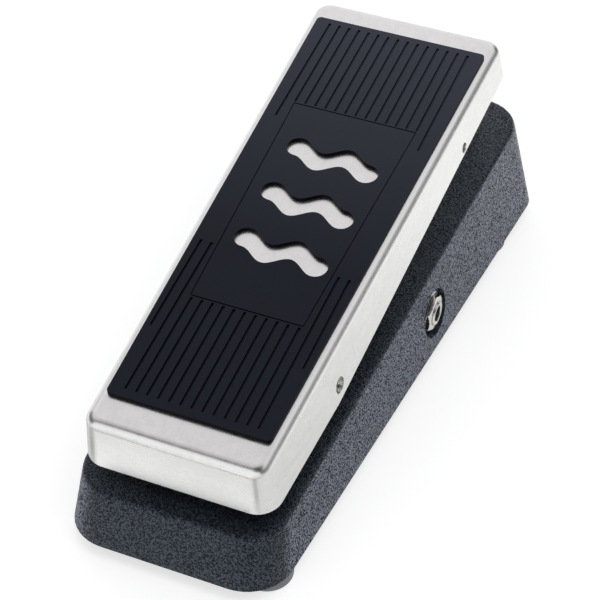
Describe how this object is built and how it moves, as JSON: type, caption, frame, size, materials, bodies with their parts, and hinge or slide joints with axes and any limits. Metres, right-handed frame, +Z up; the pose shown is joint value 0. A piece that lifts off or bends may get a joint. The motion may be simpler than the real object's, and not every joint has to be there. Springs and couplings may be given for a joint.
{
  "type": "guitar effects pedal",
  "caption": "Rocker effects pedal: wedge housing with a tilting foot treadle that drives a rack and a potentiometer, plus a foot switch under the toe.",
  "frame": {"origin": "centre of the footprint's length and width, on the floor under the rubber feet", "axes": "+X to the player's right, +Y from the heel end to the toe end, +Z up"},
  "size_m": [0.102, 0.252, 0.0909],
  "materials": {
    "crackle_paint": "fine crackle",
    "plate_paint": "satin",
    "foot_rubber": "matt",
    "black_rubber": "satin",
    "bright_metal": "brushed satin",
    "cast_metal": "as cast",
    "nickel": "polished",
    "zinc_steel": "zinc plated",
    "nylon": "natural nylon",
    "black_plastic": "moulded",
    "switch_blue": "moulded",
    "board_green": "lacquered",
    "tinned_brass": "tinned",
    "coil_red": "lacquered",
    "film_blue": "dipped",
    "can_grey": "sleeved",
    "resistor_tan": "lacquered",
    "wire_white": "insulation",
    "wire_red": "insulation",
    "battery_case": "printed sleeve",
    "felt": "felt"
  },
  "bodies": {
    "base": {"housing": "crackle_paint", "base_plate": "plate_paint", "rubber_feet": "foot_rubber", "foot_screws": "zinc_steel", "input_jack": "black_plastic", "output_jack": "black_plastic", "jack_bushings": "nickel", "jack_washers": "nickel", "jack_nuts": "nickel", "jack_springs": "tinned_brass", "power_socket": "black_plastic", "power_nut": "zinc_steel", "power_pin": "nickel", "footswitch_body": "switch_blue", "footswitch_bushing": "nickel", "footswitch_lugs": "tinned_brass", "footswitch_nuts": "nickel", "footswitch_washer": "nickel", "pot_bracket": "zinc_steel", "bracket_screws": "zinc_steel", "pot_body": "zinc_steel", "pot_lugs": "tinned_brass", "pot_nut": "nickel", "rack_guide": "nylon", "guide_screws": "zinc_steel", "circuit_board": "board_green", "board_screws": "zinc_steel", "inductor": "coil_red", "film_capacitors": "film_blue", "can_capacitors": "can_grey", "transistors": "black_plastic", "resistors": "resistor_tan", "battery": "battery_case", "battery_bracket": "zinc_steel", "battery_clip": "black_plastic", "signal_wires": "wire_white", "power_wires": "wire_red", "pivot_shaft": "zinc_steel", "pivot_nuts": "zinc_steel", "pivot_washers": "zinc_steel", "friction_washers": "nylon", "heel_bumpers": "black_rubber", "toe_bumpers": "black_rubber"},
    "treadle": {"treadle_cover": "bright_metal", "treadle_frame": "cast_metal", "cover_screws": "nickel", "cover_dowels": "zinc_steel", "tread_mat": "black_rubber", "pivot_bushes": "nylon", "drive_pin": "zinc_steel", "pin_clips": "zinc_steel", "switch_pad": "felt"},
    "rack": {"gear_rack": "nylon"},
    "pinion": {"pinion_gear": "nylon", "pot_shaft": "zinc_steel"},
    "switch_plunger": {"footswitch_button": "nickel"}
  },
  "joints": [
    {"name": "treadle_tilt", "type": "hinge", "parent": "base", "child": "treadle", "pos_m": [0, -0.0024, 0.0495], "axis": [-1, 0, 0], "range_deg": [0, 13.5]},
    {"name": "rack_slide", "type": "slide", "parent": "base", "child": "rack", "axis": [0, 0, -1], "range_m": [0, 0.0119]},
    {"name": "pinion_spin", "type": "hinge", "parent": "base", "child": "pinion", "pos_m": [0, 0.0566, 0.027], "axis": [1, 0, 0], "range_deg": [0, 122]},
    {"name": "footswitch_press", "type": "slide", "parent": "base", "child": "switch_plunger", "axis": [0, 0.1018, -0.9948], "range_m": [0, 0.003], "stiffness_N_per_m": 1500}
  ],
  "couplings": [
    {"joint": "rack_slide", "follows": "treadle_tilt", "m_per_rad": 0.0499},
    {"joint": "pinion_spin", "follows": "treadle_tilt", "ratio": 8.9107}
  ]
}
